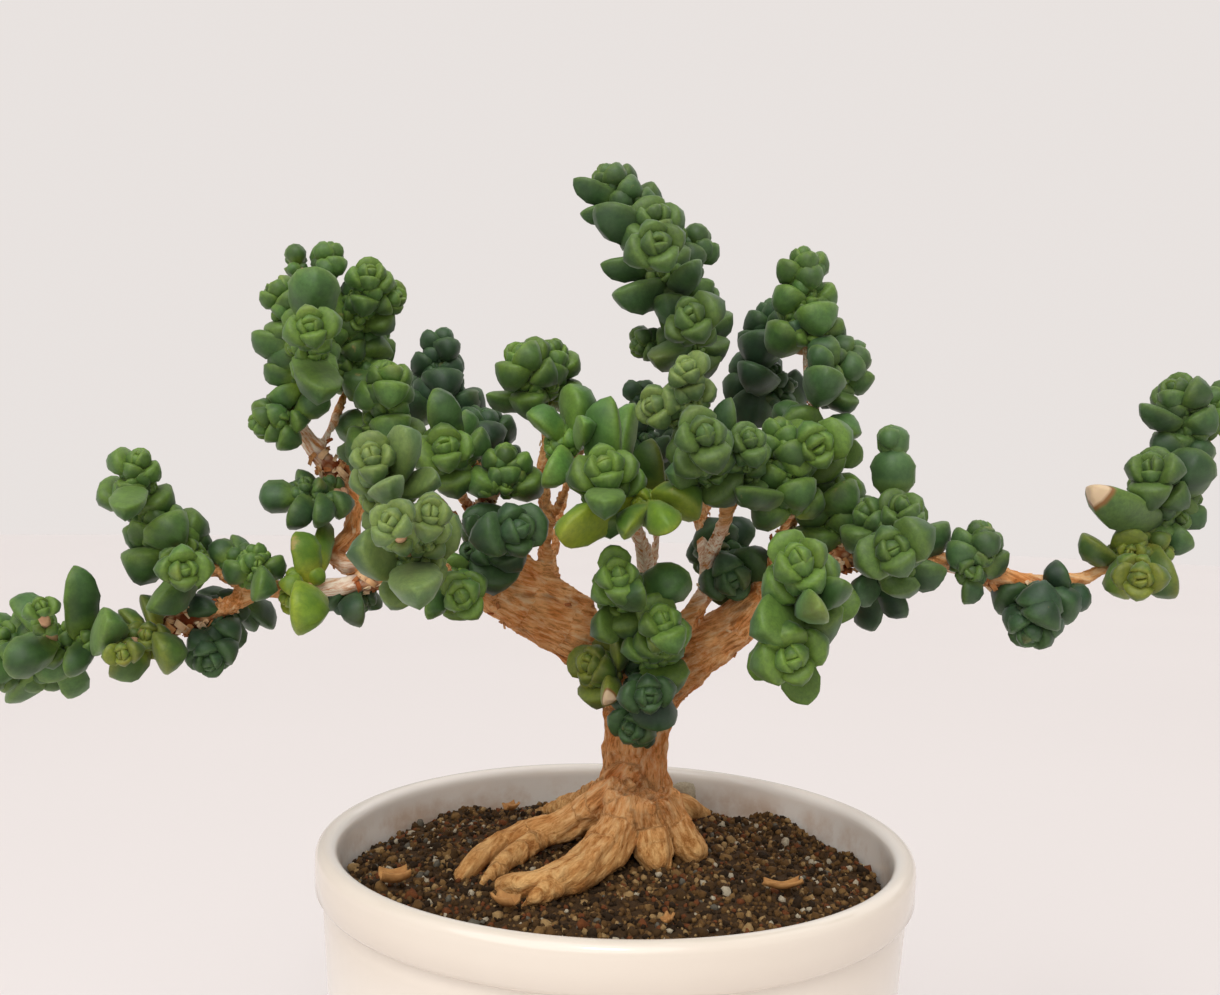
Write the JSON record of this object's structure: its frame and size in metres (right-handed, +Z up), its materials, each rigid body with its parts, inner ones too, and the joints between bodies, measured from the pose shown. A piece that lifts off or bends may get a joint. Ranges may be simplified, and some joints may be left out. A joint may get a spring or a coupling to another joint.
{
  "type": "astridia velutina bonsai in a pot",
  "caption": "Small succulent tree with fat velvety leaves in rounded heads on spreading bark-covered limbs, with flared roots in grit, in a plain round glazed pot.",
  "frame": {"origin": "middle of the pot's underside", "axes": "+Z up out of the pot; +X to the right as the tree is seen from its front, along its widest spread; +Y away from the viewer"},
  "size_m": [0.229, 0.1197, 0.2178],
  "materials": {
    "cream_glaze": "gloss glaze, cream white",
    "soil": "loose dark brown grit",
    "bark": "fissured bark, golden tan on the roots, buff and flaky on the twigs",
    "leaf_mid": "velvety blue green leaf",
    "leaf_pale": "velvety greyish green leaf",
    "leaf_dark": "velvety dark green leaf",
    "leaf_warm": "yellowish green leaf",
    "leaf_bright": "bright yellow green leaf",
    "leaf_tall": "velvety light green leaf"
  },
  "bodies": {
    "root": {"pot": "cream_glaze", "soil": "soil", "wood": "bark", "leaves_left_end": "leaf_mid", "leaves_left_low": "leaf_warm", "leaves_left_hanging": "leaf_dark", "leaves_left_tip": "leaf_mid", "leaves_left_column": "leaf_mid", "leaves_left_mid": "leaf_mid", "leaves_left_bright": "leaf_bright", "leaves_left_under": "leaf_dark", "leaves_high_left_front": "leaf_mid", "leaves_high_left_right": "leaf_mid", "leaves_high_left_side": "leaf_mid", "leaves_left_shoulder": "leaf_mid", "leaves_back_left": "leaf_dark", "leaves_mid_left": "leaf_mid", "leaves_inner_left": "leaf_mid", "leaves_inner_left_back": "leaf_dark", "leaves_front_left_high": "leaf_pale", "leaves_front_left": "leaf_pale", "leaves_left_elbow": "leaf_mid", "leaves_inner_stem": "leaf_mid", "leaves_inner_pair": "leaf_dark", "leaves_top_left": "leaf_mid", "leaves_centre_left": "leaf_mid", "leaves_centre_tall": "leaf_mid", "leaves_centre_head": "leaf_mid", "leaves_centre_long": "leaf_bright", "leaves_centre_behind": "leaf_dark", "leaves_centre_deep": "leaf_warm", "leaves_crown_tip": "leaf_mid", "leaves_crown_high": "leaf_mid", "leaves_crown_low": "leaf_mid", "leaves_centre_bright": "leaf_pale", "leaves_centre_cross": "leaf_mid", "leaves_centre_column": "leaf_mid", "leaves_right_high_tip": "leaf_mid", "leaves_right_high_back": "leaf_dark", "leaves_right_high_dark": "leaf_dark", "leaves_right_high_side": "leaf_mid", "leaves_right_high_low": "leaf_mid", "leaves_right_inner": "leaf_mid", "leaves_right_column": "leaf_tall", "leaves_right_cluster": "leaf_mid", "leaves_right_under": "leaf_dark", "leaves_front_right": "leaf_mid", "leaves_front_right_low": "leaf_mid", "leaves_centre_dark": "leaf_dark", "leaves_trunk_upper": "leaf_mid", "leaves_trunk_middle": "leaf_mid", "leaves_trunk_small": "leaf_warm", "leaves_trunk_low": "leaf_dark", "leaves_right_twig": "leaf_mid", "leaves_right_hanging": "leaf_dark", "leaves_right_head_low": "leaf_warm", "leaves_right_head_mid": "leaf_mid", "leaves_right_head_top": "leaf_mid", "leaves_right_edge": "leaf_mid", "leaves_back_middle": "leaf_dark"}
  },
  "joints": []
}
